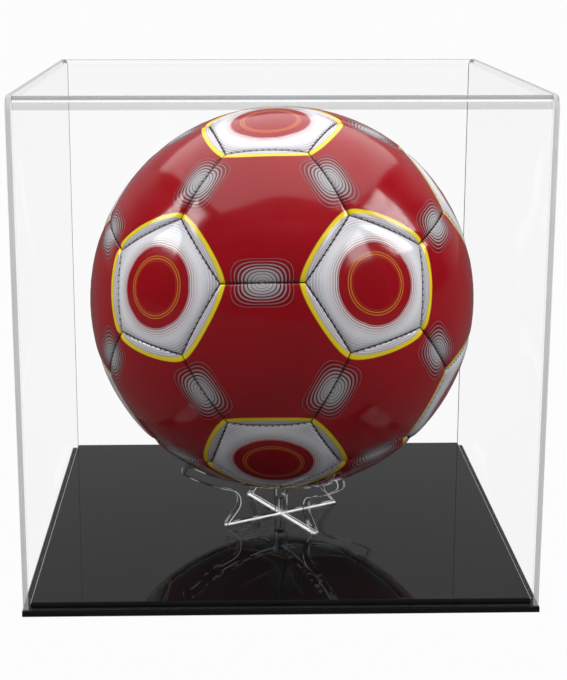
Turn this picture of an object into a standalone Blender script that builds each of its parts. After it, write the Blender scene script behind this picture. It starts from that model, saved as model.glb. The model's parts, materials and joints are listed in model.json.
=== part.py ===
"""Soccer ball display case: a clear cover on a two-tier black base, a crossed-plate stand and a ball.

Metres, +Z up, +Y to the back. The origin is the middle of the base plate's underside.
"""

import math

import bmesh
import bpy
from mathutils import Matrix, Vector

MM = 0.001

# Cover: one clear sheet folded over front, top and back, with an end panel bonded to each side of it
SHEET = 3 * MM
SIDE_ROOM = 20 * MM
FRONT_ROOM = 20 * MM
HEADROOM = 14.7 * MM
FOLD_INNER_RADIUS = 4 * MM
FOLD_STEPS = 6
BOND_GAP = 0.3 * MM

# Base: a lower plate that carries the cover's rim, and an insert that keeps the cover in place
PLATE_THICKNESS = 3 * MM
PLATE_MARGIN = 0.5 * MM
INSERT_THICKNESS = 3 * MM
INSERT_CLEARANCE = 0.5 * MM
EDGE_BREAK = 0.3 * MM
SEAT_GAP = 0.3 * MM

# Stand: two clear plates of one outline, halved into each other at a right angle
STAND_SHEET = 5 * MM
STAND_SHIFT_X = 4 * MM
STAND_SHIFT_Y = -4 * MM
STAND_TURN = math.radians(29)
FOOT_REACH = 38.5 * MM
ARM_REACH = 65.3 * MM
ARM_DEPTH = 6 * MM
CRADLE_HEIGHT = 21.7 * MM
WAIST_RADIUS = 7.8 * MM
FLANK_SLOPE = math.radians(47)
SLOT_CLEARANCE = 0.3 * MM
CRADLE_STEPS = 24
ARM_STEPS = 6
TIP_STEPS = 6
WAIST_STEPS = 10

# Ball: size 5, twelve pentagons and twenty hexagons stitched over a lined bladder
BALL_RADIUS = 110 * MM
PANEL_THICKNESS = 4 * MM
SEAM_GAP = 0.6 * MM
SEAM_DEPTH = 1.4 * MM
SEAM_ROLL = 4 * MM
SEAM_SHOULDER = 1.5 * MM
SHOULDER_DROP_SHARE = 0.3
PANEL_RING_SHARES = (0.4, 0.75)
LINING_RING_SHARE = 0.5
EDGE_STEPS = 3
BALL_YAW = math.radians(-7.5)
BALL_PITCH = math.radians(-16.5)
BALL_ROLL = math.radians(-2.3)

# Bladder and valve
BLADDER_CLEARANCE = 1 * MM
BLADDER_WALL = 1.2 * MM
BLADDER_TURNS = 32
BLADDER_RINGS = 14
VALVE_RADIUS = 4 * MM
VALVE_CLEARANCE = 0.3 * MM
VALVE_FLANGE_RADIUS = 8 * MM
VALVE_FLANGE_THICKNESS = 1 * MM
VALVE_STEM_LENGTH = 4 * MM
VALVE_SINK = 0.6 * MM
VALVE_DIMPLE_RADIUS = 1.6 * MM
VALVE_DIMPLE_DEPTH = 1 * MM
NEEDLE_RADIUS = 0.7 * MM
NEEDLE_DEPTH = 5 * MM
VALVE_TURNS = 20
VALVE_SIDE = Vector((0.5, 0.8, -0.35))

# How far a cutter runs past the wall that it cuts
OVERRUN = 5 * MM

CLEAR = (0.95, 0.98, 0.98)
BLACK = (0.012, 0.012, 0.013)
RED = (0.55, 0.005, 0.015)
WHITE = (0.85, 0.86, 0.87)
RUBBER = (0.03, 0.03, 0.03)
LATEX = (0.7, 0.66, 0.58)

INSERT_FOOT = PLATE_THICKNESS + SEAT_GAP
STAND_FOOT = INSERT_FOOT + INSERT_THICKNESS + SEAT_GAP
BALL_CENTRE = Vector((STAND_SHIFT_X, STAND_SHIFT_Y, STAND_FOOT + CRADLE_HEIGHT + SEAT_GAP + BALL_RADIUS))
INNER_WIDTH = 2 * (BALL_RADIUS + SIDE_ROOM)
INNER_DEPTH = 2 * (BALL_RADIUS + FRONT_ROOM)
COVER_WIDTH = INNER_WIDTH + 2 * SHEET
COVER_DEPTH = INNER_DEPTH + 2 * SHEET
COVER_FOOT = PLATE_THICKNESS + SEAT_GAP
COVER_HEIGHT = BALL_CENTRE.z + BALL_RADIUS + HEADROOM + SHEET - COVER_FOOT


def clear_scene():
    for obj in list(bpy.data.objects):
        bpy.data.objects.remove(obj)


def finish(obj, colour, roughness, transmission=0.0):
    """Gives an object its own Principled material, named after it."""
    material = bpy.data.materials.new(obj.name)
    material.use_nodes = True
    shader = material.node_tree.nodes["Principled BSDF"]
    shader.inputs["Base Color"].default_value = (*colour, 1)
    shader.inputs["Roughness"].default_value = roughness
    shader.inputs["Metallic"].default_value = 0
    shader.inputs["Transmission Weight"].default_value = transmission
    shader.inputs["IOR"].default_value = 1.49
    obj.data.materials.append(material)
    return obj


def to_object(name, bm):
    """Links a bmesh as a named object with its faces turned outwards."""
    bmesh.ops.recalc_face_normals(bm, faces=bm.faces)
    mesh = bpy.data.meshes.new(name)
    bm.to_mesh(mesh)
    bm.free()
    obj = bpy.data.objects.new(name, mesh)
    bpy.context.scene.collection.objects.link(obj)
    return obj


def shade_round(obj):
    obj.data.shade_smooth()
    obj.data.set_sharp_from_angle(angle=math.radians(30))


def box(width, depth, height):
    """A box that stands on Z 0, centred on the Z axis."""
    bm = bmesh.new()
    bmesh.ops.create_cube(bm, size=1)
    bmesh.ops.scale(bm, vec=(width, depth, height), verts=bm.verts)
    bmesh.ops.translate(bm, vec=(0, 0, height / 2), verts=bm.verts)
    return bm


def cut(obj, cutter):
    """Takes a hidden cutter's shape out of an object."""
    cutter.hide_render = True
    cutter.display_type = "WIRE"
    boolean = obj.modifiers.new("cut", "BOOLEAN")
    boolean.operation = "DIFFERENCE"
    boolean.object = cutter


def folded_block(name, width, depth, height, radius):
    """A block with its front and back top edges rounded, as the outer or inner face of the folded sheet."""
    bm = box(width, depth, height)
    top = [edge for edge in bm.edges if all(vert.co.z > height / 2 for vert in edge.verts)]
    folds = [edge for edge in top if edge.verts[0].co.y * edge.verts[1].co.y > 0]
    bmesh.ops.bevel(bm, geom=folds, offset=radius, segments=FOLD_STEPS, profile=0.5, affect="EDGES")
    block = to_object(name, bm)
    shade_round(block)
    return block


def make_cover_wrap():
    """The folded sheet: front, top and back in one."""
    width = INNER_WIDTH - 2 * BOND_GAP
    wrap = folded_block("cover_wrap", width, COVER_DEPTH, COVER_HEIGHT, FOLD_INNER_RADIUS + SHEET)
    wrap.location.z = COVER_FOOT
    hollow = folded_block(
        "cover_hollow",
        width + 2 * OVERRUN,
        INNER_DEPTH,
        COVER_HEIGHT - SHEET + OVERRUN,
        FOLD_INNER_RADIUS,
    )
    hollow.location.z = COVER_FOOT - OVERRUN
    cut(wrap, hollow)
    finish(wrap, CLEAR, 0.02, transmission=1.0)


def make_cover_ends():
    """The two end panels, cut to the folded sheet's outline and bonded over its edges."""
    for name, side in (("cover_end_left", -1), ("cover_end_right", 1)):
        end = folded_block(name, SHEET, COVER_DEPTH, COVER_HEIGHT, FOLD_INNER_RADIUS + SHEET)
        end.location = (side * (COVER_WIDTH - SHEET) / 2, 0, COVER_FOOT)
        finish(end, CLEAR, 0.02, transmission=1.0)


def flat_plate(name, width, depth, thickness, height):
    """A saw-cut plate with its edges just broken."""
    plate = to_object(name, box(width, depth, thickness))
    plate.location.z = height
    chamfer = plate.modifiers.new("edge_break", "BEVEL")
    chamfer.width = EDGE_BREAK
    chamfer.segments = 1
    finish(plate, BLACK, 0.05)


def make_base():
    flat_plate(
        "base_plate",
        COVER_WIDTH + 2 * PLATE_MARGIN,
        COVER_DEPTH + 2 * PLATE_MARGIN,
        PLATE_THICKNESS,
        0,
    )
    flat_plate(
        "base_insert",
        INNER_WIDTH - 2 * INSERT_CLEARANCE,
        INNER_DEPTH - 2 * INSERT_CLEARANCE,
        INSERT_THICKNESS,
        INSERT_FOOT,
    )


def arc(centre, radius, start, end, steps):
    """Points on an arc, with both of its ends."""
    angles = [start + (end - start) * step / steps for step in range(steps + 1)]
    return [centre + radius * Vector((math.cos(a), math.sin(a))) for a in angles]


def heading(vector):
    return math.atan2(vector.y, vector.x)


def stand_half_outline():
    """The right half of a stand plate's outline, from the cradle's middle to the foot."""
    cradle_radius = BALL_RADIUS + SEAT_GAP
    ball = Vector((0, CRADLE_HEIGHT + cradle_radius))
    under_radius = cradle_radius + ARM_DEPTH
    middle_radius = cradle_radius + ARM_DEPTH / 2
    down = -math.pi / 2
    tip_angle = down + math.asin((ARM_REACH - ARM_DEPTH / 2) / middle_radius)
    tip = ball + middle_radius * Vector((math.cos(tip_angle), math.sin(tip_angle)))

    foot = Vector((FOOT_REACH, 0))
    flank = Vector((-math.cos(FLANK_SLOPE), math.sin(FLANK_SLOPE)))
    outward = Vector((flank.y, -flank.x))
    start = foot + WAIST_RADIUS * outward
    along = (start - ball).dot(flank)
    reach = under_radius + WAIST_RADIUS
    run = -along - math.sqrt(along * along - (start - ball).length_squared + reach * reach)
    waist = start + run * flank
    into_arm = heading(ball - waist)
    into_flank = heading(-outward) + 2 * math.pi

    points = arc(ball, cradle_radius, down, tip_angle, CRADLE_STEPS // 2)
    points += arc(tip, ARM_DEPTH / 2, tip_angle + math.pi, tip_angle, TIP_STEPS)[1:-1]
    points += arc(ball, under_radius, tip_angle, heading(waist - ball), ARM_STEPS)
    points += arc(waist, WAIST_RADIUS, into_arm, into_flank, WAIST_STEPS)[1:]
    return points + [foot]


def stand_plate(name, slot_foot, turn):
    """One plate, upright on the insert, with its halving slot starting at slot_foot above it."""
    right = stand_half_outline()
    left = [Vector((-point.x, point.y)) for point in reversed(right[1:])]
    bm = bmesh.new()
    side = -STAND_SHEET / 2
    face = bm.faces.new([bm.verts.new((point.x, side, point.y)) for point in right + left])
    grown = bmesh.ops.extrude_face_region(bm, geom=[face])
    moved = [item for item in grown["geom"] if isinstance(item, bmesh.types.BMVert)]
    bmesh.ops.translate(bm, vec=(0, STAND_SHEET, 0), verts=moved)
    plate = to_object(name, bm)
    plate.location = (STAND_SHIFT_X, STAND_SHIFT_Y, STAND_FOOT)
    plate.rotation_euler.z = turn

    slot_width = STAND_SHEET + 2 * SLOT_CLEARANCE
    slot = to_object(name + "_slot", box(slot_width, slot_width, CRADLE_HEIGHT / 2 + OVERRUN))
    slot.location = plate.location + Vector((0, 0, slot_foot))
    slot.rotation_euler.z = turn
    cut(plate, slot)
    finish(plate, CLEAR, 0.03, transmission=1.0)


def make_stand():
    stand_plate("stand_plate_lower", CRADLE_HEIGHT / 2 - SLOT_CLEARANCE / 2, STAND_TURN)
    stand_plate("stand_plate_upper", SLOT_CLEARANCE / 2 - OVERRUN, STAND_TURN + math.pi / 2)


def ball_turn():
    """Turns the ball so that the seam between two hexagons faces the front, as it stands in the case."""
    placed = Matrix.Rotation(BALL_YAW, 3, "Z") @ Matrix.Rotation(BALL_PITCH, 3, "X")
    return placed @ Matrix.Rotation(BALL_ROLL, 3, "Y")


def panel_corners():
    """Corner directions of the 32 panels: an icosahedron with its points cut off at a third of each edge."""
    bm = bmesh.new()
    bmesh.ops.create_icosphere(bm, subdivisions=1, radius=1)
    bm.edges.ensure_lookup_table()
    seam = bm.edges[0]
    ends = [vert.co.copy() for vert in seam.verts]
    front = -(ends[0] + ends[1]).normalized()
    right = (ends[1] - ends[0]).normalized()
    upright = Matrix((right, front, right.cross(front)))
    third = 100 / 3
    bmesh.ops.bevel(bm, geom=bm.verts, offset=third, offset_type="PERCENT", segments=1, affect="VERTICES")
    turn = ball_turn() @ upright
    panels = [[(turn @ vert.co).normalized() for vert in face.verts] for face in bm.faces]
    bm.free()
    return panels


def middle(corners):
    return sum(corners, Vector()).normalized()


def panel_edge(corners):
    """Directions round a panel, each seam in EDGE_STEPS stretches."""
    edge = []
    for start, end in zip(corners, corners[1:] + corners[:1]):
        edge += [start.lerp(end, step / EDGE_STEPS).normalized() for step in range(EDGE_STEPS)]
    return edge


def half_width(corners):
    """The distance over the ball from a panel's middle to the middle of a seam."""
    return BALL_RADIUS * middle(corners).angle(corners[0] + corners[1])


def panel(name, corners):
    """A stitched panel: domed outside, rolled down to its seams, with a lining face inside."""
    centre = middle(corners)
    edge = panel_edge(corners)
    reach = half_width(corners)
    outer = 1 - SEAM_GAP / 2 / reach
    rolled = outer - SEAM_ROLL / reach
    shoulder = outer - SEAM_SHOULDER / reach
    lining = BALL_RADIUS - PANEL_THICKNESS
    rings = [(rolled * share, BALL_RADIUS) for share in PANEL_RING_SHARES]
    rings += [
        (rolled, BALL_RADIUS),
        (shoulder, BALL_RADIUS - SEAM_DEPTH * SHOULDER_DROP_SHARE),
        (outer, BALL_RADIUS - SEAM_DEPTH),
        (outer, lining),
        (outer * LINING_RING_SHARE, lining),
    ]
    bm = bmesh.new()
    loops = []
    for share, radius in rings:
        loops.append([bm.verts.new(centre.lerp(point, share).normalized() * radius) for point in edge])
    for near, far in zip(loops, loops[1:]):
        for k in range(len(edge)):
            after = (k + 1) % len(edge)
            bm.faces.new((near[k], near[after], far[after], far[k]))
    for radius, loop in ((BALL_RADIUS, loops[0]), (lining, loops[-1])):
        tip = bm.verts.new(centre * radius)
        for k in range(len(edge)):
            bm.faces.new((tip, loop[k], loop[(k + 1) % len(edge)]))
    made = to_object(name, bm)
    made.location = BALL_CENTRE
    shade_round(made)
    return made


def turned(name, profile, turns, axis):
    """A shape turned about a direction through the ball's middle, from (radius, height) points."""
    bm = bmesh.new()
    verts = [bm.verts.new((radius, 0, height)) for radius, height in profile]
    edges = [bm.edges.new(pair) for pair in zip(verts, verts[1:])]
    bmesh.ops.spin(
        bm, geom=verts + edges, cent=(0, 0, 0), axis=(0, 0, 1), angle=2 * math.pi, steps=turns, use_merge=True
    )
    bmesh.ops.remove_doubles(bm, verts=bm.verts, dist=0.001 * MM)
    made = to_object(name, bm)
    made.rotation_mode = "QUATERNION"
    made.rotation_quaternion = axis.to_track_quat("Z", "X")
    made.location = BALL_CENTRE
    shade_round(made)
    return made


def sphere_profile(radius, hole):
    """Points down a sphere's side, from the rim of a hole at its top to its lowest point."""
    collar = math.asin(VALVE_FLANGE_RADIUS / radius)
    steps = range(BLADDER_RINGS)
    angles = [math.asin(hole / radius)] + [collar + (math.pi - collar) * step / BLADDER_RINGS for step in steps]
    points = [(radius * math.sin(angle), radius * math.cos(angle)) for angle in angles]
    return points + [(0, -radius)]


def make_bladder(axis):
    radius = BALL_RADIUS - PANEL_THICKNESS - BLADDER_CLEARANCE
    hole = VALVE_RADIUS + VALVE_CLEARANCE
    outside = sphere_profile(radius, hole)
    inside = sphere_profile(radius - BLADDER_WALL, hole)
    bladder = turned("bladder", outside, BLADDER_TURNS, axis)
    bm = bmesh.new()
    bm.from_mesh(bladder.data)
    inner = turned("bladder_inside", inside, BLADDER_TURNS, axis)
    bm.from_mesh(inner.data)
    rims = [edge for edge in bm.edges if edge.is_boundary]
    bmesh.ops.bridge_loops(bm, edges=rims)
    bmesh.ops.recalc_face_normals(bm, faces=bm.faces)
    bm.to_mesh(bladder.data)
    bm.free()
    bpy.data.objects.remove(inner)
    finish(bladder, LATEX, 0.6)


def make_valve(axis):
    """A rubber valve: a stem through the panel, with a flange inside the bladder and a needle hole."""
    inside = BALL_RADIUS - PANEL_THICKNESS - BLADDER_CLEARANCE - BLADDER_WALL
    sag = inside - math.sqrt(inside**2 - VALVE_FLANGE_RADIUS**2)
    flange = inside - sag - VALVE_CLEARANCE
    face = BALL_RADIUS - VALVE_SINK
    foot = flange - VALVE_FLANGE_THICKNESS
    profile = [
        (0, face - NEEDLE_DEPTH),
        (NEEDLE_RADIUS, face - NEEDLE_DEPTH),
        (NEEDLE_RADIUS, face - VALVE_DIMPLE_DEPTH),
        (VALVE_DIMPLE_RADIUS, face),
        (VALVE_RADIUS - EDGE_BREAK, face),
        (VALVE_RADIUS, face - EDGE_BREAK),
        (VALVE_RADIUS, flange),
        (VALVE_FLANGE_RADIUS, flange),
        (VALVE_FLANGE_RADIUS, foot),
        (VALVE_RADIUS, foot),
        (VALVE_RADIUS - EDGE_BREAK, foot - VALVE_STEM_LENGTH),
        (0, foot - VALVE_STEM_LENGTH),
    ]
    finish(turned("valve", profile, VALVE_TURNS, axis), RUBBER, 0.5)


def make_ball():
    panels = panel_corners()
    axis = max((middle(p) for p in panels if len(p) == 6), key=lambda side: side.dot(VALVE_SIDE))
    for sides, kind, colour in ((6, "hexagon", RED), (5, "pentagon", WHITE)):
        group = [corners for corners in panels if len(corners) == sides]
        group.sort(key=lambda corners: round(middle(corners).z, 3), reverse=True)
        for number, corners in enumerate(group, 1):
            made = panel(f"{kind}_panel_{number:02d}", corners)
            finish(made, colour, 0.15)
            if middle(corners) == axis:
                hole = VALVE_RADIUS + VALVE_CLEARANCE
                low = BALL_RADIUS - PANEL_THICKNESS - OVERRUN
                high = BALL_RADIUS + OVERRUN
                profile = [(0, high), (hole, high), (hole, low), (0, low)]
                cut(made, turned("valve_hole", profile, VALVE_TURNS, axis))
    make_bladder(axis)
    make_valve(axis)


clear_scene()
make_base()
make_stand()
make_ball()
make_cover_wrap()
make_cover_ends()
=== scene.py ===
"""Ball display case: its finished surfaces, the studio and the camera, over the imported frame."""

import json
import math

import bpy
from mathutils import Matrix, Vector

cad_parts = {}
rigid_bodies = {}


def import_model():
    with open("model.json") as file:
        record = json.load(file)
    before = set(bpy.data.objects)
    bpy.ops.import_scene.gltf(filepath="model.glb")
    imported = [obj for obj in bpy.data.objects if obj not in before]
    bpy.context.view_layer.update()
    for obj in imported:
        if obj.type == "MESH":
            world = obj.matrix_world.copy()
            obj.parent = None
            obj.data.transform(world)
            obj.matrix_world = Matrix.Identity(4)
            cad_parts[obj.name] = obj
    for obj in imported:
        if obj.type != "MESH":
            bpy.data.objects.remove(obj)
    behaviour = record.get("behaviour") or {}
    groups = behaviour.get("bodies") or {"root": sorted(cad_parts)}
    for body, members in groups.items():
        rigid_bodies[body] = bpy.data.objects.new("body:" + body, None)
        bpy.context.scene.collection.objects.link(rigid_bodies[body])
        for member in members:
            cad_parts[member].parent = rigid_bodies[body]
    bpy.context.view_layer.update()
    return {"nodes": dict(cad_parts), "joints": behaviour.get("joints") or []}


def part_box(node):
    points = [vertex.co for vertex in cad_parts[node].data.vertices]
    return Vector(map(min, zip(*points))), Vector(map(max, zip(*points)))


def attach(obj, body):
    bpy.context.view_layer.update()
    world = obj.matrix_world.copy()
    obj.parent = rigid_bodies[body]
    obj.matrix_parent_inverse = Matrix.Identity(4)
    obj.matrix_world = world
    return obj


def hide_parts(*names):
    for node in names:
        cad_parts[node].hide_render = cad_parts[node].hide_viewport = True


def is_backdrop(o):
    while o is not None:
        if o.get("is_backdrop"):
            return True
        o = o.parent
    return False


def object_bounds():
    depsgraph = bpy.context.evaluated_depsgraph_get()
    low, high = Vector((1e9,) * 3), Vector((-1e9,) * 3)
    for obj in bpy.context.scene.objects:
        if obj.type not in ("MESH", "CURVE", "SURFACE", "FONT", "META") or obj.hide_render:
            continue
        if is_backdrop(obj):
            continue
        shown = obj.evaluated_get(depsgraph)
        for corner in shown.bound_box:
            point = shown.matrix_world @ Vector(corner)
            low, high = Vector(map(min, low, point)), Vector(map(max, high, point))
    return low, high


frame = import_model()
MM = 0.001


# The base is two plates of cast black acrylic, 3 mm thick, sawn to size with their edges just broken.
# The smaller one is bonded on top and keeps the cover in place. Both have the polish that the sheet comes with.
class Wire:
    """A socket of a material, so that what feeds it can be written as a sum."""

    def __init__(self, tree, socket=None):
        self.tree = tree
        self.socket = socket

    def node(self, kind, settings=None, inputs=None, output=0):
        """A new node: its type, its settings, the values or wires of its inputs, and the output to go on from."""
        made = self.tree.nodes.new(kind)
        for name, value in (settings or {}).items():
            setattr(made, name, value)
        for name, value in (inputs or {}).items():
            if isinstance(value, Wire):
                self.tree.links.new(value.socket, made.inputs[name])
            else:
                made.inputs[name].default_value = value
        return Wire(self.tree, made.outputs[output])

    def sum(self, operation, *values):
        return self.node("ShaderNodeMath", {"operation": operation}, dict(enumerate(values)))

    def __add__(self, other):
        return self.sum("ADD", self, other)

    __radd__ = __add__

    def __sub__(self, other):
        return self.sum("SUBTRACT", self, other)

    def __rsub__(self, other):
        return self.sum("SUBTRACT", other, self)

    def __mul__(self, other):
        return self.sum("MULTIPLY", self, other)

    __rmul__ = __mul__

    def __truediv__(self, other):
        return self.sum("DIVIDE", self, other)

    def __gt__(self, other):
        return self.sum("GREATER_THAN", self, other)

    def __lt__(self, other):
        return self.sum("LESS_THAN", self, other)

    def __abs__(self):
        return self.sum("ABSOLUTE", self)

    def ease(self, low, high):
        """0 below low, 1 above high, and a smooth step between."""
        inputs = {"Value": self, "From Min": low, "From Max": high}
        return self.node("ShaderNodeMapRange", {"interpolation_type": "SMOOTHSTEP"}, inputs)

    def mix(self, first, second):
        """The first colour where this is 0, and the second where it is 1."""
        inputs = {"Factor": self, 6: first, 7: second}
        return self.node("ShaderNodeMix", {"data_type": "RGBA"}, inputs, 2)


def new_finish(name, **constants):
    """A material with a Principled shader: returns it, its tree as a Wire, and a way to feed its sockets."""
    material = bpy.data.materials.new(name)
    material.use_nodes = True
    tree = material.node_tree
    shader = tree.nodes["Principled BSDF"]
    for socket, value in constants.items():
        shader.inputs[socket.replace("_", " ")].default_value = value

    def feed(**wires):
        for socket, wire in wires.items():
            tree.links.new(wire.socket, shader.inputs[socket.replace("_", " ")])

    return material, Wire(tree), feed


def paint(piece, material):
    """Gives a piece one material all over."""
    piece.data.materials.clear()
    piece.data.materials.append(material)


INSERT_EDGE = 5.8 * MM
black, w, feed = new_finish("polished black acrylic")
place = w.node("ShaderNodeTexCoord", output=3)
smears = w.node("ShaderNodeTexNoise", inputs={"Vector": place, "Scale": 14, "Detail": 4, "Distortion": 1.5})
dust = w.node("ShaderNodeTexNoise", inputs={"Vector": place, "Scale": 900, "Detail": 1})
# The insert's broken edges at the sides are made rougher, and a fine pale line is painted on them as a painted
# highlight.
normal = w.node("ShaderNodeNewGeometry", output=1)
sideways = abs(w.node("ShaderNodeSeparateXYZ", inputs={0: normal}, output=0))
height = w.node("ShaderNodeSeparateXYZ", inputs={0: place}, output=2)
side_edge_highlight = (sideways > 0.4) * (sideways < 0.9) * (height > INSERT_EDGE)
feed(
    Base_Color=side_edge_highlight.mix((0.004, 0.004, 0.0045, 1), (0.6, 0.6, 0.6, 1)),
    Roughness=0.012 + 0.02 * smears.ease(0.45, 0.75) + 0.04 * dust.ease(0.74, 0.8) + 0.4 * side_edge_highlight,
)
for name in ("base_plate", "base_insert"):
    paint(frame["nodes"][name], black)


# The stand is two plates of 5 mm clear acrylic, laser cut to one outline and pushed together at their slots.
# The cut edges are flame polished. It stands loose on the insert, and nothing fixes it.
EDGE_BREAK = 0.4 * MM
SLOT_REACH = 2.8 * MM
LIT_STRIPE = (0.9 * MM, 1.6 * MM)

clear, w, feed = new_finish("clear cast plate", Base_Color=(0.9, 0.92, 0.92, 1), Metallic=1, Roughness=0.02)
gloss = w.node("ShaderNodeFresnel", inputs={"IOR": 1.49})
back = w.node("ShaderNodeNewGeometry", output=6)
feed(Alpha=w.sum("MINIMUM", gloss, 0.03) * (1 - back))

stand_low, stand_high = (Vector(corner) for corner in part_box("stand_plate_lower"))
axis = ((stand_low.x + stand_high.x) / 2, (stand_low.y + stand_high.y) / 2, 0)


def broad_side(mesh):
    """The direction that a plate's broad side faces."""
    return max(mesh.polygons, key=lambda face: face.area).normal.copy()


# A cut edge gets painted light: noise paints dark and lit streaks up it, in colour and as glow. Beside the slots it
# is painted dark as painted shade; each foot's underside gets a painted glow, a bright stripe along its middle.
cut, w, feed = new_finish("flame-polished cut with painted light", Roughness=0.05, Emission_Strength=1)
place = w.node("ShaderNodeTexCoord", output=3)
stretched = w.node("ShaderNodeMapping", inputs={"Vector": place, "Scale": (300, 300, 60)})
streaks = w.node("ShaderNodeTexNoise", inputs={"Vector": stretched, "Scale": 1, "Detail": 1})
plan = w.node("ShaderNodeVectorMath", {"operation": "MULTIPLY"}, {0: place, 1: (1, 1, 0)})
slot_shade = w.node("ShaderNodeVectorMath", {"operation": "DISTANCE"}, {0: plan, 1: axis}, 1) < SLOT_REACH
off_axis = w.node("ShaderNodeVectorMath", {"operation": "SUBTRACT"}, {0: plan, 1: axis})
off_middle = [
    abs(w.node("ShaderNodeVectorMath", {"operation": "DOT_PRODUCT"}, {0: off_axis, 1: broad_side(mesh)}, 1))
    for mesh in (frame["nodes"]["stand_plate_lower"].data, frame["nodes"]["stand_plate_upper"].data)
]
underside = w.node("ShaderNodeSeparateXYZ", inputs={0: place}, output=2) < stand_low.z + EDGE_BREAK
foot = underside * (1 - w.sum("MINIMUM", *off_middle).ease(*LIT_STRIPE))
# The streaks are painted glints and painted shade on the cut edge.
lit = streaks.ease(0.52, 0.62)
feed(
    Base_Color=lit.mix((0.01, 0.01, 0.01, 1), (0.3, 0.31, 0.31, 1)),
    Emission_Color=foot.mix((lit * (1 - slot_shade)).mix((0, 0, 0, 1), (0.3, 0.31, 0.31, 1)), (0.85, 0.87, 0.87, 1)),
    Alpha=w.sum("MINIMUM", 0.22 + 0.25 * lit * (1 - underside) + 0.6 * slot_shade + 0.7 * foot, 1),
)

# The broken edges get painted glints: noise paints them dark or pale, and the pale parts glow.
broken, w, feed = new_finish("broken edge with painted glints", Roughness=0.1, Emission_Strength=1, Alpha=0.85)
place = w.node("ShaderNodeTexCoord", output=3)
painted_glints = w.node("ShaderNodeTexNoise", inputs={"Vector": place, "Scale": 70, "Detail": 1}).ease(0.45, 0.55)
feed(
    Base_Color=painted_glints.mix((0.01, 0.01, 0.01, 1), (0.5, 0.51, 0.51, 1)),
    Emission_Color=painted_glints.mix((0, 0, 0, 1), (0.34, 0.35, 0.35, 1)),
)

# Each plate is a copy of the CAD plate with its sharp edges broken.
for node in ("stand_plate_lower", "stand_plate_upper"):
    plate = frame["nodes"][node].copy()
    plate.data = frame["nodes"][node].data.copy()
    plate.name = "clear_" + node
    plate.parent = None
    bpy.context.scene.collection.objects.link(plate)
    plate.matrix_world = frame["nodes"][node].matrix_world
    bpy.ops.object.select_all(action="DESELECT")
    plate.select_set(True)
    bpy.context.view_layer.objects.active = plate
    bpy.ops.object.mode_set(mode="EDIT")
    bpy.ops.mesh.select_all(action="SELECT")
    bpy.ops.mesh.remove_doubles(threshold=0.01 * MM)
    bpy.ops.mesh.dissolve_limited(angle_limit=math.radians(1))
    bpy.ops.mesh.select_mode(type="EDGE")
    bpy.ops.mesh.select_all(action="DESELECT")
    bpy.ops.mesh.edges_select_sharp(sharpness=math.radians(60))
    bpy.ops.mesh.bevel(offset=EDGE_BREAK, segments=1, affect="EDGES")
    bpy.ops.object.mode_set(mode="OBJECT")
    broad = broad_side(plate.data)
    for finish in (cut, broken):
        plate.data.materials.append(finish)
    plate.data.materials[0] = clear
    for face in plate.data.polygons:
        facing_out = abs(face.normal.dot(broad))
        face.material_index = 0 if facing_out > 0.95 else 1 if facing_out < 0.3 else 2
    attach(plate, "base")
    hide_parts(node)


# The ball's cover is twelve five-sided and twenty six-sided panels of coated synthetic leather, printed before
# they are cut, backed with a lining, and stitched edge to edge inside out. Each one rolls down into its seams.
centre = Vector(next(joint for joint in frame["joints"] if joint["name"] == "ball_turn")["pos_m"])
BALL_RADIUS = 110 * MM
SEAM_GAP = 0.6 * MM
PANEL_WALL = 3 * MM
SIDE_PARTS = 8
# A length on the flat faces that the panels start from, as a share of what it becomes on the ball.
FLAT_SHARE = 0.87
# The steps from a panel's edge inwards, each with its width and how much it drops towards the seam, in mm.
ROLL = ((0.4, 0.55), (0.6, 0.3), (1, 0.27), (1, 0.14), (1.2, 0.12), (2, 0.1))


def facing(name):
    """The direction from the ball's middle to the middle of a CAD panel."""
    verts = frame["nodes"][name].data.vertices
    return (sum((v.co for v in verts), Vector()) / len(verts) - centre).normalized()


pentagons = {name: facing(name) for name in frame["nodes"] if name.startswith("pentagon")}
hexagons = {name: facing(name) for name in frame["nodes"] if name.startswith("hexagon")}
first, *others = pentagons.values()
second = max(others, key=first.dot)


def upright(a, b):
    """A turn whose Z axis points at a, with b in its XZ plane."""
    side = a.cross(b).normalized()
    return Matrix((side.cross(a), side, a)).transposed()


bpy.ops.object.select_all(action="DESELECT")
bpy.ops.mesh.primitive_ico_sphere_add(subdivisions=1, radius=BALL_RADIUS, location=centre)
shell = bpy.context.active_object
points = [v.co.normalized() for v in shell.data.vertices]
near = max(points[1:], key=points[0].dot)
turn = upright(first, second) @ upright(points[0], near).inverted()
shell.rotation_euler = turn.to_euler()
bpy.ops.object.transform_apply(location=False, rotation=True, scale=False)
bpy.ops.object.mode_set(mode="EDIT")
bpy.ops.mesh.select_mode(type="VERT")
bpy.ops.mesh.bevel(offset_type="PERCENT", offset_pct=100 / 3, affect="VERTICES")
bpy.ops.mesh.select_all(action="SELECT")
bpy.ops.mesh.edge_split()
bpy.ops.mesh.inset(use_individual=True, thickness=FLAT_SHARE * SEAM_GAP / 2)
bpy.ops.mesh.select_all(action="INVERT")
bpy.ops.mesh.delete(type="VERT")
bpy.ops.mesh.select_all(action="SELECT")
bpy.ops.mesh.subdivide(number_cuts=SIDE_PARTS - 1)
for width, drop in ROLL:
    bpy.ops.mesh.inset(use_individual=True, thickness=FLAT_SHARE * width * MM)
bpy.ops.mesh.separate(type="LOOSE")
bpy.ops.object.mode_set(mode="OBJECT")
cut_panels = list(bpy.context.selected_objects)

# The print is laid out by distances over the ball.
printed, w, feed = new_finish("printed ball panel", IOR=1.5)
place = w.node("ShaderNodeTexCoord", output=3)
moved = w.node("ShaderNodeVectorMath", {"operation": "SUBTRACT"}, {0: place, 1: centre})
out = w.node("ShaderNodeVectorMath", {"operation": "NORMALIZE"}, {0: moved})


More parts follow.
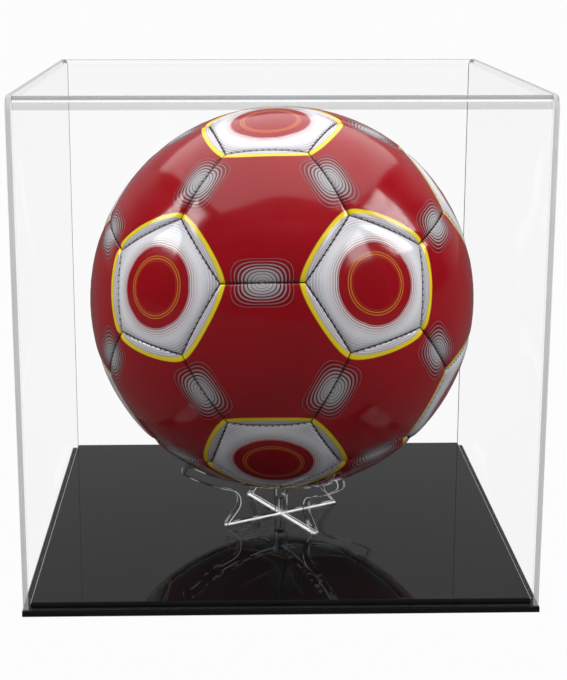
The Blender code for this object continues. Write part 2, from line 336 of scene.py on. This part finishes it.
def arc_from(directions):
    """The distance over the ball, in mm, to the nearest of some pairs of opposite directions."""
    nearest = None
    for direction in directions:
        near_to = abs(w.node("ShaderNodeVectorMath", {"operation": "DOT_PRODUCT"}, {0: out, 1: direction}, 1))
        nearest = near_to if nearest is None else w.sum("MAXIMUM", nearest, near_to)
    return w.sum("ARCCOSINE", nearest) * (BALL_RADIUS / MM)


def half_of(directions):
    """One of each pair of opposite directions."""
    kept = []
    for direction in directions:
        if all(direction.dot(other) > -0.99 for other in kept):
            kept.append(direction)
    return kept


# from_five and from_six are the distances to the middle of the nearest five-sided and six-sided panel. ring is
# from_five, drawn out a little towards that panel's corners. off_seam is the distance from the seam that runs on from
# such a corner, between two six-sided panels.
CORNER_ROUND = 7
from_five = arc_from(half_of(pentagons.values()))
from_six = arc_from(half_of(hexagons.values()))
off_seam = 55.3 - 0.25 * from_five - from_six
rounded = w.sum("SQRT", off_seam * off_seam + CORNER_ROUND * CORNER_ROUND)
inner, outer = 0.92 * from_five, 0.71875 * from_five + 0.375 * rounded + 3.575
ring = inner + from_five.ease(10, 34) * (outer - inner)


def band(low, high, soft=0.3):
    """1 between two rings, in mm."""
    return ring.ease(low - soft, low + soft) * (1 - ring.ease(high - soft, high + soft))


def lines(spacing, share):
    """Fine lines that follow the rings: 1 on a line."""
    place_in_ring = w.sum("FRACT", ring / spacing)
    return 1 - abs(place_in_ring - 0.5).ease(share / 2 - 0.1, share / 2 + 0.1)


# The ground is red. A white field lies round the middle of a five-sided panel, with fine red lines inwards, grey lines
# and shading outwards, two amber rings inside it and a yellow border.
tint = w.node("ShaderNodeTexNoise", inputs={"Vector": place, "Scale": 30, "Detail": 2})
colour = tint.ease(0.3, 0.7).mix((0.3, 0.0015, 0.007, 1), (0.33, 0.002, 0.008, 1))
colour = band(21, 34).mix(colour, (0.76, 0.77, 0.8, 1))
colour = (lines(1.1, 0.55) * band(14.5, 27) * (1 - ring.ease(20, 27)) * 0.9).mix(colour, (0.33, 0.01, 0.015, 1))
colour = (ring.ease(27, 34) * band(21, 34) * 0.25).mix(colour, (0.4, 0.36, 0.4, 1))
colour = (lines(1.1, 0.6) * band(27, 34) * ring.ease(26, 32) * 0.6).mix(colour, (0.32, 0.26, 0.33, 1))
colour = (lines(1.5, 0.4) * band(13, 16)).mix(colour, (0.6, 0.2, 0.03, 1))
colour = band(34, 36).mix(colour, (0.82, 0.66, 0.02, 1))

# Silver hoops lie round the middle of each seam between two six-sided panels, and fade out into the red.
SIX_TO_SEAM, FIVE_TO_HOOPS = 40.1, 60.9
HOOPS_WIDE, HOOPS_LONG, HOOPS = 13, 17, 9
across, along = (SIX_TO_SEAM - from_six) / HOOPS_WIDE, (FIVE_TO_HOOPS - from_five) / HOOPS_LONG
bow = w.sum("SQRT", across * across + along * along)
glow = 1 - bow.ease(0.2, 1.1)
hoop = 1 - (abs(w.sum("FRACT", bow * HOOPS) - 0.5) * 2 - 0.85 * glow).ease(-0.12, 0.2)
inside = 1 - bow.ease(0.96, 1)
colour = (inside * (0.15 + 0.75 * glow)).mix(colour, (0.035, 0.005, 0.009, 1))
colour = (inside * (0.35 + 0.65 * glow) * hoop).mix(colour, (0.42, 0.41, 0.43, 1))

# The coating has a fine grain, and the panels swell a little unevenly over the bladder.
peel = w.node("ShaderNodeTexNoise", inputs={"Vector": place, "Scale": 160, "Detail": 1})
swell = w.node("ShaderNodeTexNoise", inputs={"Vector": place, "Scale": 24, "Detail": 1})
relief = {"Height": swell + 0.02 * peel, "Strength": 1, "Distance": 1.2 * MM}
feed(
    Base_Color=colour,
    Roughness=0.1 + 0.05 * tint,
    Normal=w.node("ShaderNodeBump", inputs=relief),
)

# Each flat face becomes a panel: its middle is filled with a grid and domed, its rings drop towards the seams, and it
# gets its thickness inwards.
for piece in cut_panels:
    middle = sum((v.co for v in piece.data.vertices), Vector()).normalized()
    sides = max(len(face.vertices) for face in piece.data.polygons) // SIDE_PARTS
    group = pentagons if sides == 5 else hexagons
    node = max(group, key=lambda name: group[name].dot(middle))
    piece.name = "printed_" + node
    bpy.ops.object.select_all(action="DESELECT")
    piece.select_set(True)
    bpy.context.view_layer.objects.active = piece
    bpy.ops.object.mode_set(mode="EDIT")
    bpy.ops.mesh.select_all(action="DESELECT")
    bpy.ops.mesh.select_face_by_sides(number=6, type="GREATER")
    bpy.ops.object.vertex_group_assign_new()
    bpy.ops.mesh.delete(type="ONLY_FACE")
    bpy.ops.object.vertex_group_select()
    bpy.ops.mesh.fill_grid(span=SIDE_PARTS * sides // 4)
    bpy.ops.object.mode_set(mode="OBJECT")
    dome = piece.modifiers.new("dome", "CAST")
    dome.factor = 1
    dome.use_radius_as_size = False
    dome.size = BALL_RADIUS
    bpy.ops.object.modifier_apply(modifier="dome")
    bpy.ops.object.mode_set(mode="EDIT")
    bpy.ops.mesh.select_all(action="SELECT")
    bpy.ops.mesh.region_to_loop()
    for width, drop in ROLL:
        lower = 1 - drop * MM / BALL_RADIUS
        bpy.ops.transform.resize(value=(lower, lower, lower), center_override=centre)
        bpy.ops.mesh.select_more()
    bpy.ops.object.mode_set(mode="OBJECT")
    backing = piece.modifiers.new("backing", "SOLIDIFY")
    backing.thickness = PANEL_WALL
    backing.offset = -1
    bpy.ops.object.modifier_apply(modifier="backing")
    bpy.ops.object.transform_apply(location=True, rotation=False, scale=False)
    bpy.ops.object.shade_smooth_by_angle(angle=math.radians(50))
    paint(piece, printed)
    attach(piece, "ball")
    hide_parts(node)


# Waxed polyester thread joins the panels from the inside. Each stitch crosses the bottom of a seam slantwise, about
# every 3.4 mm, and shows there as a small dark bar.
THREAD = 0.55 * MM
STITCH_STEP = 3.4 * MM / BALL_RADIUS
STITCHES = 12
# Angles at the ball's middle, in degrees: from a five-sided panel's middle to its seam, from the same middle to the
# next six-sided panel's, and the angle within which two panels are neighbours.
FIVE_TO_SEAM, FIVE_TO_SIX, NEIGHBOURS = 16.5, 37.4, 45
bpy.ops.object.select_all(action="DESELECT")
bpy.ops.mesh.primitive_cylinder_add(
    vertices=6,
    radius=THREAD / 2,
    depth=2 * MM,
    location=centre + Vector((0, 0, BALL_RADIUS - 1.1 * MM)),
    rotation=(0, math.radians(90), math.radians(30)),
)
row = bpy.context.active_object
bpy.ops.object.transform_apply(location=True, rotation=True, scale=True)
bpy.ops.object.mode_set(mode="EDIT")
bpy.ops.mesh.bevel(offset=0.1 * MM, segments=1, affect="EDGES")
bpy.ops.mesh.select_all(action="SELECT")
bpy.ops.transform.rotate(value=-STITCH_STEP * (STITCHES - 1) / 2, orient_axis="X", center_override=centre)
for stitch in range(STITCHES - 1):
    bpy.ops.mesh.duplicate()
    bpy.ops.transform.rotate(value=STITCH_STEP, orient_axis="X", center_override=centre)
bpy.ops.object.mode_set(mode="OBJECT")

every_panel = [(way, True) for way in pentagons.values()] + [(way, False) for way in hexagons.values()]
rows = []
for i, (one, one_is_five) in enumerate(every_panel):
    for other, _ in every_panel[i + 1:]:
        if math.degrees(one.angle(other)) > NEIGHBOURS:
            continue
        seam = one.slerp(other, FIVE_TO_SEAM / FIVE_TO_SIX if one_is_five else 0.5)
        along_seam = one.cross(other).normalized()
        turn = Matrix((along_seam.cross(seam), along_seam, seam)).transposed().to_4x4()
        bpy.ops.object.select_all(action="DESELECT")
        row.select_set(True)
        bpy.ops.object.duplicate()
        copy = bpy.context.selected_objects[0]
        copy.matrix_world = Matrix.Translation(centre) @ turn @ Matrix.Translation(-centre)
        rows.append(copy)
bpy.data.objects.remove(row)
for copy in rows:
    copy.select_set(True)
bpy.context.view_layer.objects.active = rows[0]
bpy.ops.object.transform_apply(location=True, rotation=True, scale=True)
bpy.ops.object.join()
thread = bpy.context.active_object
thread.name = "seam_thread"
waxed, w, feed = new_finish("waxed thread", Roughness=0.5)
place = w.node("ShaderNodeTexCoord", output=3)
fibre = w.node("ShaderNodeTexNoise", inputs={"Vector": place, "Scale": 4000, "Detail": 2})
feed(Base_Color=fibre.ease(0.3, 0.7).mix((0.012, 0.006, 0.007, 1), (0.05, 0.02, 0.024, 1)))
paint(thread, waxed)
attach(thread, "ball")


# The cover's front, top and back are one 3 mm sheet of clear acrylic, heated along two lines and folded over a
# round bar. The bends carry the light along them; this is painted, as a dark, a light and a grey line on the front
# bend and a thin line on the rear one.
wrap_low, wrap_high = (Vector(corner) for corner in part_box("cover_wrap"))
SHEET = 3 * MM
FOLD_OUTSIDE = 7 * MM

sheet, w, feed = new_finish("clear sheet", Roughness=0.02)
place = w.node("ShaderNodeTexCoord", output=3)
height = w.node("ShaderNodeSeparateXYZ", inputs={0: place}, output=2)
depth = w.node("ShaderNodeSeparateXYZ", inputs={0: place}, output=1)
under_top = (wrap_high.z - height) / MM
bend = under_top.ease(0.02, 0.3) * (1 - under_top.ease(6.6, 7)) * (depth < wrap_low.y + FOLD_OUTSIDE)
# The front bend's painted shade and painted highlight lines, and its painted grey band, are set by height under the
# top.
painted_dark_line = 1 - under_top.ease(1.7, 2.4)
painted_light_line = under_top.ease(1.7, 2.4) * (1 - under_top.ease(3, 3.4))
gloss = w.node("ShaderNodeFresnel", inputs={"IOR": 1.3})
back = w.node("ShaderNodeNewGeometry", output=6)
pale = painted_light_line.mix((0.3, 0.3, 0.31, 1), (0.9, 0.91, 0.92, 1))
painted_rear_line = (1 - under_top.ease(0.6, 0.9)) * under_top.ease(0.02, 0.1) * (depth > wrap_high.y - FOLD_OUTSIDE)
band_alpha = bend * (0.2 + 0.6 * painted_dark_line + 0.5 * painted_light_line) + 0.4 * painted_rear_line
feed(
    Base_Color=bend.mix((0.9, 0.92, 0.92, 1), painted_dark_line.mix(pale, (0.14, 0.15, 0.156, 1))),
    Metallic=1 - w.sum("MAXIMUM", bend, painted_rear_line),
    Alpha=w.sum("MAXIMUM", band_alpha, w.sum("MINIMUM", gloss, 0.05) * (1 - back)),
)

cut_edge, w, feed = new_finish("sawn and polished edge", Roughness=0.3, Alpha=0.75)
place = w.node("ShaderNodeTexCoord", output=3)
drawn = w.node("ShaderNodeMapping", inputs={"Vector": place, "Scale": (1800, 40, 40)})
streaks = w.node("ShaderNodeTexNoise", inputs={"Vector": drawn, "Scale": 1, "Detail": 2})
# Edge faces that point up are painted dark grey as painted shade; the others keep the pale, streaked tone of the edge.
upward_painted_shade = w.node("ShaderNodeSeparateXYZ", inputs={0: w.node("ShaderNodeNewGeometry", output=1)}, output=2).ease(0, 0.9)
along_edge = streaks.ease(0.3, 0.7).mix((0.74, 0.75, 0.75, 1), (0.88, 0.89, 0.89, 1))
feed(Base_Color=upward_painted_shade.mix(along_edge, (0.33, 0.335, 0.335, 1)))

bonded_edge, w, feed = new_finish("bonded edge", Roughness=0.4)
place = w.node("ShaderNodeTexCoord", output=3)
cement = w.node("ShaderNodeTexNoise", inputs={"Vector": place, "Scale": 120, "Detail": 2})
# Along the back wall the bonded edges are made almost opaque, so the rear corners show as dark grey lines.
at_back = w.node("ShaderNodeSeparateXYZ", inputs={0: place}, output=1) > wrap_high.y - SHEET
feed(Base_Color=cement.mix((0.1, 0.1, 0.105, 1), (0.16, 0.16, 0.165, 1)), Alpha=0.06 + 0.05 * cement + 0.88 * at_back)

# The rim that the cover stands on is left as sawn and dull, and is coloured near black with faint grey saw marks.
sawn_rim, w, feed = new_finish("sawn rim", Roughness=0.5, Alpha=0.4)
place = w.node("ShaderNodeTexCoord", output=3)
saw_marks = w.node("ShaderNodeTexNoise", inputs={"Vector": place, "Scale": 1600, "Detail": 1})
feed(Base_Color=saw_marks.ease(0.45, 0.65).mix((0.006, 0.006, 0.006, 1), (0.06, 0.058, 0.055, 1)))


def edges_in(piece, is_edge, finish):
    """Gives a sheet piece one more finish, on the faces of some of its cut edges."""
    piece.data.materials.append(finish)
    for face in piece.data.polygons:
        if is_edge(face):
            face.material_index = len(piece.data.materials) - 1


def is_rim(face):
    """True on the edge that the cover stands on."""
    return face.normal.z < -0.9 and face.center.z < wrap_low.z + 0.1 * MM


# The sheet's middle layer is drawn out as front, top and back, folded, and then given its thickness.
bpy.ops.object.select_all(action="DESELECT")
middle = (wrap_low + wrap_high) / 2
front_y, top_z = wrap_low.y + SHEET / 2, wrap_high.z - SHEET / 2
bpy.ops.mesh.primitive_plane_add(
    size=1, location=(middle.x, front_y, (wrap_low.z + top_z) / 2), rotation=(math.radians(90), 0, 0)
)
wrap = bpy.context.active_object
wrap.name = "clear_folded_sheet"
wrap.scale = (wrap_high.x - wrap_low.x, top_z - wrap_low.z, 1)
bpy.ops.object.transform_apply(location=True, rotation=True, scale=True)
bpy.ops.object.mode_set(mode="EDIT")
bpy.ops.mesh.select_mode(type="EDGE")
bpy.ops.mesh.select_all(action="DESELECT")
bpy.ops.object.mode_set(mode="OBJECT")
for edge in wrap.data.edges:
    edge.select = all(wrap.data.vertices[i].co.z > middle.z for i in edge.vertices)
bpy.ops.object.mode_set(mode="EDIT")
across = wrap_high.y - wrap_low.y - SHEET
bpy.ops.mesh.extrude_region_move(TRANSFORM_OT_translate={"value": (0, across, 0)})
bpy.ops.mesh.extrude_region_move(TRANSFORM_OT_translate={"value": (0, 0, wrap_low.z - top_z)})
bpy.ops.object.mode_set(mode="OBJECT")
for edge in wrap.data.edges:
    ends = [wrap.data.vertices[i].co for i in edge.vertices]
    edge.select = all(end.z > middle.z for end in ends) and abs(ends[0].x - ends[1].x) > SHEET
bpy.ops.object.mode_set(mode="EDIT")
bpy.ops.mesh.bevel(offset=FOLD_OUTSIDE - SHEET / 2, segments=12, affect="EDGES")
bpy.ops.object.mode_set(mode="OBJECT")
wall = wrap.modifiers.new("wall", "SOLIDIFY")
wall.thickness = SHEET
wall.offset = 0
wall.use_even_offset = True
bpy.ops.object.modifier_apply(modifier="wall")
bpy.ops.object.mode_set(mode="EDIT")
bpy.ops.mesh.select_all(action="SELECT")
bpy.ops.mesh.normals_make_consistent(inside=False)
bpy.ops.object.mode_set(mode="OBJECT")
bpy.ops.object.shade_smooth_by_angle(angle=math.radians(30))
paint(wrap, sheet)
edges_in(wrap, lambda face: abs(face.normal.x) > 0.7, bonded_edge)
edges_in(wrap, is_rim, sawn_rim)
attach(wrap, "cover")
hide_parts("cover_wrap")


# The cover's left and right sides are flat panels of the same sheet, bonded over the folded sheet's sawn edges.
# Their own edges are sawn, polished and just broken, and show as pale bands from the front. Where they face up,
# they are painted darker as painted shade, and show as darker bands from above.
def is_cut(face):
    """True on the front and top edges, and on the broken bottom corner, whose pale colour is a painted highlight."""
    if face.center.z < wrap_low.z + 0.5 * MM:
        return 0.2 < abs(face.normal.x) < 0.95 and abs(face.normal.y) < 0.5
    return abs(face.normal.x) < 0.9 and face.normal.y < 0.8


for node in ("cover_end_left", "cover_end_right"):
    low, high = (Vector(corner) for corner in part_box(node))
    bpy.ops.object.select_all(action="DESELECT")
    bpy.ops.mesh.primitive_cube_add(size=1, location=(low + high) / 2)
    end = bpy.context.active_object
    end.name = "clear_" + node
    end.scale = high - low
    bpy.ops.object.transform_apply(location=True, rotation=True, scale=True)
    bpy.ops.object.mode_set(mode="EDIT")
    bpy.ops.mesh.select_mode(type="EDGE")
    bpy.ops.mesh.select_all(action="DESELECT")
    bpy.ops.object.mode_set(mode="OBJECT")
    for edge in end.data.edges:
        ends = [end.data.vertices[i].co for i in edge.vertices]
        edge.select = all(point.z > middle.z for point in ends) and abs(ends[0].x - ends[1].x) > SHEET / 2
    bpy.ops.object.mode_set(mode="EDIT")
    bpy.ops.mesh.bevel(offset=FOLD_OUTSIDE, segments=12, affect="EDGES")
    bpy.ops.mesh.select_all(action="DESELECT")
    bpy.ops.mesh.edges_select_sharp(sharpness=math.radians(60))
    bpy.ops.mesh.bevel(offset=0.35 * MM, segments=2, affect="EDGES")
    bpy.ops.object.mode_set(mode="OBJECT")
    bpy.ops.object.shade_smooth_by_angle(angle=math.radians(30))
    paint(end, sheet)
    edges_in(end, is_cut, cut_edge)
    edges_in(end, is_rim, sawn_rim)
    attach(end, "cover")
    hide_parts(node)


# The bladder is blown latex and holds the air. The valve is moulded rubber, is fixed to the bladder, and sits in the
# middle of a six-sided panel. Both keep their CAD shape.
latex, w, feed = new_finish("latex", Roughness=0.6)
place = w.node("ShaderNodeTexCoord", output=3)
cloud = w.node("ShaderNodeTexNoise", inputs={"Vector": place, "Scale": 40})
feed(Base_Color=cloud.mix((0.1, 0.09, 0.08, 1), (0.16, 0.14, 0.12, 1)))
paint(frame["nodes"]["bladder"], latex)
rubber, w, feed = new_finish("valve rubber", Roughness=0.5)
place = w.node("ShaderNodeTexCoord", output=3)
cloud = w.node("ShaderNodeTexNoise", inputs={"Vector": place, "Scale": 300})
feed(Base_Color=cloud.mix((0.02, 0.02, 0.02, 1), (0.035, 0.035, 0.035, 1)))
paint(frame["nodes"]["valve"], rubber)


# The studio: a white floor and surround, one large soft light from above, one from each side, and a small one
# from the front right, like a window. The floor and surround are white to the camera, and dim in the gloss.
bpy.ops.object.select_all(action="DESELECT")
bpy.ops.mesh.primitive_plane_add(size=80, location=(0, 0, 0))
floor = bpy.context.active_object
floor.name = "floor"
white_floor = bpy.data.materials.new("white floor")
white_floor.use_nodes = True
tree = white_floor.node_tree
tree.nodes.remove(tree.nodes["Principled BSDF"])
w = Wire(tree)
seen = w.node("ShaderNodeLightPath", output=0)
through = w.node("ShaderNodeLightPath", output=6)
matt = w.node("ShaderNodeBsdfDiffuse", inputs={"Color": (0.1, 0.1, 0.1, 1)})
mirrored = w.node("ShaderNodeLightPath", output=3)
glow = w.node("ShaderNodeEmission", inputs={"Color": (1, 1, 1, 1), "Strength": 1 - 0.88 * mirrored})
plain = w.sum("MAXIMUM", w.sum("MAXIMUM", seen, through), mirrored)
lit = w.node("ShaderNodeMixShader", inputs={0: plain * 0.975, 1: matt, 2: glow})
tree.links.new(lit.socket, tree.nodes["Material Output"].inputs["Surface"])
paint(floor, white_floor)
floor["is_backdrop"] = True

world = bpy.data.worlds.new("surround")
bpy.context.scene.world = world
world.use_nodes = True
tree = world.node_tree
w = Wire(tree)
seen = w.node("ShaderNodeLightPath", output=0)
through = w.node("ShaderNodeLightPath", output=6)
way = w.node("ShaderNodeTexCoord", output=0)
height = w.node("ShaderNodeSeparateXYZ", inputs={0: way}, output=2)
behind = w.node("ShaderNodeSeparateXYZ", inputs={0: way}, output=1)
mirrored = w.node("ShaderNodeLightPath", output=3)
FILL = 0.57
studio = 0.015 + 0.28 * behind.ease(0.3, 0.8) * (1 - height.ease(0.45, 0.7)) + 0.25 * height.ease(0.7, 1)
level = FILL + mirrored * (studio - FILL)
white = w.sum("MAXIMUM", seen, through)
background = tree.nodes["Background"]
background.inputs["Color"].default_value = (1, 1, 1, 1)
tree.links.new((white + (1 - white) * level).socket, background.inputs["Strength"])

AIM = Vector((0, 0, 0.14))
for name, spot, size, power in (
    ("top light", (0, 0.45, 1.5), 2.4, 25),
    ("left light", (-1.3, -0.1, 1.1), 0.7, 11),
    ("right light", (1.3, -0.1, 1.1), 0.7, 11),
    ("window light", (1.1, -0.95, 1.15), 0.45, 4),
):
    bpy.ops.object.light_add(type="AREA", location=spot)
    lamp = bpy.context.active_object
    lamp.name = name
    lamp.data.size = size
    lamp.data.energy = power
    lamp.rotation_euler = (AIM - lamp.location).to_track_quat("-Z", "Y").to_euler()

# The camera stands 0.87 m in front of the case, a little left of its middle, and looks down on it.
bpy.ops.object.camera_add(location=(-0.02663, -0.86543, 0.33265))
camera = bpy.context.active_object
camera.rotation_euler = (math.radians(90 - 12.81), math.radians(-0.03), math.radians(-1.34))
camera.data.lens = 80.9
camera.data.shift_x = 0.0291
camera.data.shift_y = -0.0578
camera.data.clip_start = 0.02
bpy.context.scene.camera = camera
bpy.context.scene.view_settings.view_transform = "Standard"

low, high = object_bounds()
